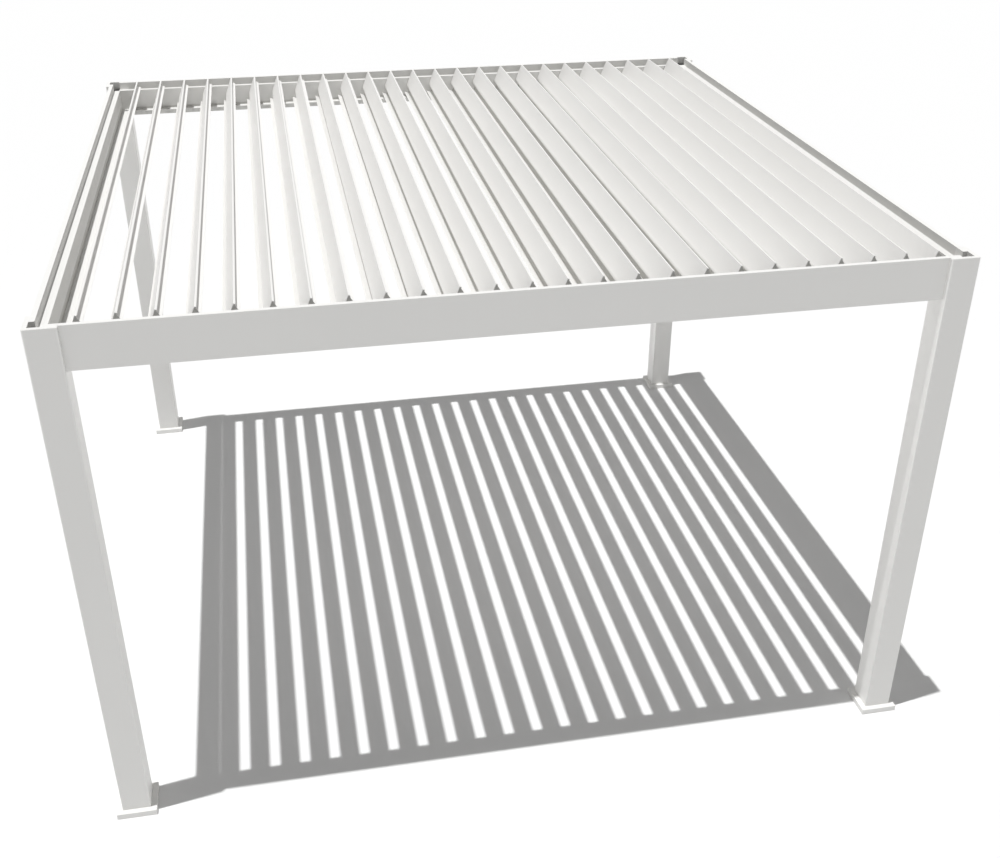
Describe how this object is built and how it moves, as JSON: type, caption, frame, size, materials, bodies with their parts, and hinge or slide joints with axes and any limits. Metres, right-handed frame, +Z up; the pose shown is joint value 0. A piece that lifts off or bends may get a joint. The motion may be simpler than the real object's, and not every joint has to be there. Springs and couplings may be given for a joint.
{
  "type": "louvered pergola",
  "caption": "Free-standing square pergola: posts on foot plates, gutter beams between them and a roof of turning ship-lap louvers.",
  "frame": {"origin": "centre of the plan on the ground", "axes": "+Z up, front towards -Y, louvers side by side along X with their pivots along Y"},
  "size_m": [4.055, 4.055, 2.592],
  "materials": {
    "frame_coat": "matte white powder coat",
    "louver_coat": "matte white powder coat",
    "foot_coat": "matte white powder coat"
  },
  "bodies": {
    "frame": {"foot_front_left": "foot_coat", "foot_front_right": "foot_coat", "foot_back_left": "foot_coat", "foot_back_right": "foot_coat", "post_front_left": "frame_coat", "post_front_right": "frame_coat", "post_back_left": "frame_coat", "post_back_right": "frame_coat", "corner_front_left": "frame_coat", "corner_front_right": "frame_coat", "corner_back_left": "frame_coat", "corner_back_right": "frame_coat", "beam_front": "frame_coat", "beam_back": "frame_coat", "beam_left": "frame_coat", "beam_right": "frame_coat", "gutter_front": "frame_coat", "gutter_back": "frame_coat", "gutter_left": "frame_coat", "gutter_right": "frame_coat", "edge_front": "frame_coat", "edge_back": "frame_coat", "edge_left": "frame_coat", "edge_right": "frame_coat"},
    "louver_01": {"louver_01": "louver_coat"},
    "louver_02": {"louver_02": "louver_coat"},
    "louver_03": {"louver_03": "louver_coat"},
    "louver_04": {"louver_04": "louver_coat"},
    "louver_05": {"louver_05": "louver_coat"},
    "louver_06": {"louver_06": "louver_coat"},
    "louver_07": {"louver_07": "louver_coat"},
    "louver_08": {"louver_08": "louver_coat"},
    "louver_09": {"louver_09": "louver_coat"},
    "louver_10": {"louver_10": "louver_coat"},
    "louver_11": {"louver_11": "louver_coat"},
    "louver_12": {"louver_12": "louver_coat"},
    "louver_13": {"louver_13": "louver_coat"},
    "louver_14": {"louver_14": "louver_coat"},
    "louver_15": {"louver_15": "louver_coat"},
    "louver_16": {"louver_16": "louver_coat"},
    "louver_17": {"louver_17": "louver_coat"},
    "louver_18": {"louver_18": "louver_coat"},
    "louver_19": {"louver_19": "louver_coat"},
    "louver_20": {"louver_20": "louver_coat"},
    "louver_21": {"louver_21": "louver_coat"},
    "louver_22": {"louver_22": "louver_coat"},
    "louver_23": {"louver_23": "louver_coat"},
    "louver_24": {"louver_24": "louver_coat"},
    "louver_25": {"louver_25": "louver_coat"}
  },
  "joints": [
    {"name": "louver_01_turn", "type": "hinge", "parent": "frame", "child": "louver_01", "pos_m": [-1.824, 0, 2.51198], "axis": [0, -1, 0], "range_deg": [-60, 60]},
    {"name": "louver_02_turn", "type": "hinge", "parent": "frame", "child": "louver_02", "pos_m": [-1.672, 0, 2.51198], "axis": [0, -1, 0], "range_deg": [-60, 60]},
    {"name": "louver_03_turn", "type": "hinge", "parent": "frame", "child": "louver_03", "pos_m": [-1.52, 0, 2.51198], "axis": [0, -1, 0], "range_deg": [-60, 60]},
    {"name": "louver_04_turn", "type": "hinge", "parent": "frame", "child": "louver_04", "pos_m": [-1.368, 0, 2.51198], "axis": [0, -1, 0], "range_deg": [-60, 60]},
    {"name": "louver_05_turn", "type": "hinge", "parent": "frame", "child": "louver_05", "pos_m": [-1.216, 0, 2.51198], "axis": [0, -1, 0], "range_deg": [-60, 60]},
    {"name": "louver_06_turn", "type": "hinge", "parent": "frame", "child": "louver_06", "pos_m": [-1.064, 0, 2.51198], "axis": [0, -1, 0], "range_deg": [-60, 60]},
    {"name": "louver_07_turn", "type": "hinge", "parent": "frame", "child": "louver_07", "pos_m": [-0.912, 0, 2.51198], "axis": [0, -1, 0], "range_deg": [-60, 60]},
    {"name": "louver_08_turn", "type": "hinge", "parent": "frame", "child": "louver_08", "pos_m": [-0.76, 0, 2.51198], "axis": [0, -1, 0], "range_deg": [-60, 60]},
    {"name": "louver_09_turn", "type": "hinge", "parent": "frame", "child": "louver_09", "pos_m": [-0.608, 0, 2.51198], "axis": [0, -1, 0], "range_deg": [-60, 60]},
    {"name": "louver_10_turn", "type": "hinge", "parent": "frame", "child": "louver_10", "pos_m": [-0.456, 0, 2.51198], "axis": [0, -1, 0], "range_deg": [-60, 60]},
    {"name": "louver_11_turn", "type": "hinge", "parent": "frame", "child": "louver_11", "pos_m": [-0.304, 0, 2.51198], "axis": [0, -1, 0], "range_deg": [-60, 60]},
    {"name": "louver_12_turn", "type": "hinge", "parent": "frame", "child": "louver_12", "pos_m": [-0.152, 0, 2.51198], "axis": [0, -1, 0], "range_deg": [-60, 60]},
    {"name": "louver_13_turn", "type": "hinge", "parent": "frame", "child": "louver_13", "pos_m": [0, 0, 2.51198], "axis": [0, -1, 0], "range_deg": [-60, 60]},
    {"name": "louver_14_turn", "type": "hinge", "parent": "frame", "child": "louver_14", "pos_m": [0.152, 0, 2.51198], "axis": [0, -1, 0], "range_deg": [-60, 60]},
    {"name": "louver_15_turn", "type": "hinge", "parent": "frame", "child": "louver_15", "pos_m": [0.304, 0, 2.51198], "axis": [0, -1, 0], "range_deg": [-60, 60]},
    {"name": "louver_16_turn", "type": "hinge", "parent": "frame", "child": "louver_16", "pos_m": [0.456, 0, 2.51198], "axis": [0, -1, 0], "range_deg": [-60, 60]},
    {"name": "louver_17_turn", "type": "hinge", "parent": "frame", "child": "louver_17", "pos_m": [0.608, 0, 2.51198], "axis": [0, -1, 0], "range_deg": [-60, 60]},
    {"name": "louver_18_turn", "type": "hinge", "parent": "frame", "child": "louver_18", "pos_m": [0.76, 0, 2.51198], "axis": [0, -1, 0], "range_deg": [-60, 60]},
    {"name": "louver_19_turn", "type": "hinge", "parent": "frame", "child": "louver_19", "pos_m": [0.912, 0, 2.51198], "axis": [0, -1, 0], "range_deg": [-60, 60]},
    {"name": "louver_20_turn", "type": "hinge", "parent": "frame", "child": "louver_20", "pos_m": [1.064, 0, 2.51198], "axis": [0, -1, 0], "range_deg": [-60, 60]},
    {"name": "louver_21_turn", "type": "hinge", "parent": "frame", "child": "louver_21", "pos_m": [1.216, 0, 2.51198], "axis": [0, -1, 0], "range_deg": [-60, 60]},
    {"name": "louver_22_turn", "type": "hinge", "parent": "frame", "child": "louver_22", "pos_m": [1.368, 0, 2.51198], "axis": [0, -1, 0], "range_deg": [-60, 60]},
    {"name": "louver_23_turn", "type": "hinge", "parent": "frame", "child": "louver_23", "pos_m": [1.52, 0, 2.51198], "axis": [0, -1, 0], "range_deg": [-60, 60]},
    {"name": "louver_24_turn", "type": "hinge", "parent": "frame", "child": "louver_24", "pos_m": [1.672, 0, 2.51198], "axis": [0, -1, 0], "range_deg": [-60, 60]},
    {"name": "louver_25_turn", "type": "hinge", "parent": "frame", "child": "louver_25", "pos_m": [1.824, 0, 2.51198], "axis": [0, -1, 0], "range_deg": [-60, 60]}
  ],
  "couplings": [
    {"joint": "louver_01_turn", "follows": "louver_13_turn", "ratio": 1},
    {"joint": "louver_02_turn", "follows": "louver_13_turn", "ratio": 1},
    {"joint": "louver_03_turn", "follows": "louver_13_turn", "ratio": 1},
    {"joint": "louver_04_turn", "follows": "louver_13_turn", "ratio": 1},
    {"joint": "louver_05_turn", "follows": "louver_13_turn", "ratio": 1},
    {"joint": "louver_06_turn", "follows": "louver_13_turn", "ratio": 1},
    {"joint": "louver_07_turn", "follows": "louver_13_turn", "ratio": 1},
    {"joint": "louver_08_turn", "follows": "louver_13_turn", "ratio": 1},
    {"joint": "louver_09_turn", "follows": "louver_13_turn", "ratio": 1},
    {"joint": "louver_10_turn", "follows": "louver_13_turn", "ratio": 1},
    {"joint": "louver_11_turn", "follows": "louver_13_turn", "ratio": 1},
    {"joint": "louver_12_turn", "follows": "louver_13_turn", "ratio": 1},
    {"joint": "louver_14_turn", "follows": "louver_13_turn", "ratio": 1},
    {"joint": "louver_15_turn", "follows": "louver_13_turn", "ratio": 1},
    {"joint": "louver_16_turn", "follows": "louver_13_turn", "ratio": 1},
    {"joint": "louver_17_turn", "follows": "louver_13_turn", "ratio": 1},
    {"joint": "louver_18_turn", "follows": "louver_13_turn", "ratio": 1},
    {"joint": "louver_19_turn", "follows": "louver_13_turn", "ratio": 1},
    {"joint": "louver_20_turn", "follows": "louver_13_turn", "ratio": 1},
    {"joint": "louver_21_turn", "follows": "louver_13_turn", "ratio": 1},
    {"joint": "louver_22_turn", "follows": "louver_13_turn", "ratio": 1},
    {"joint": "louver_23_turn", "follows": "louver_13_turn", "ratio": 1},
    {"joint": "louver_24_turn", "follows": "louver_13_turn", "ratio": 1},
    {"joint": "louver_25_turn", "follows": "louver_13_turn", "ratio": 1}
  ]
}
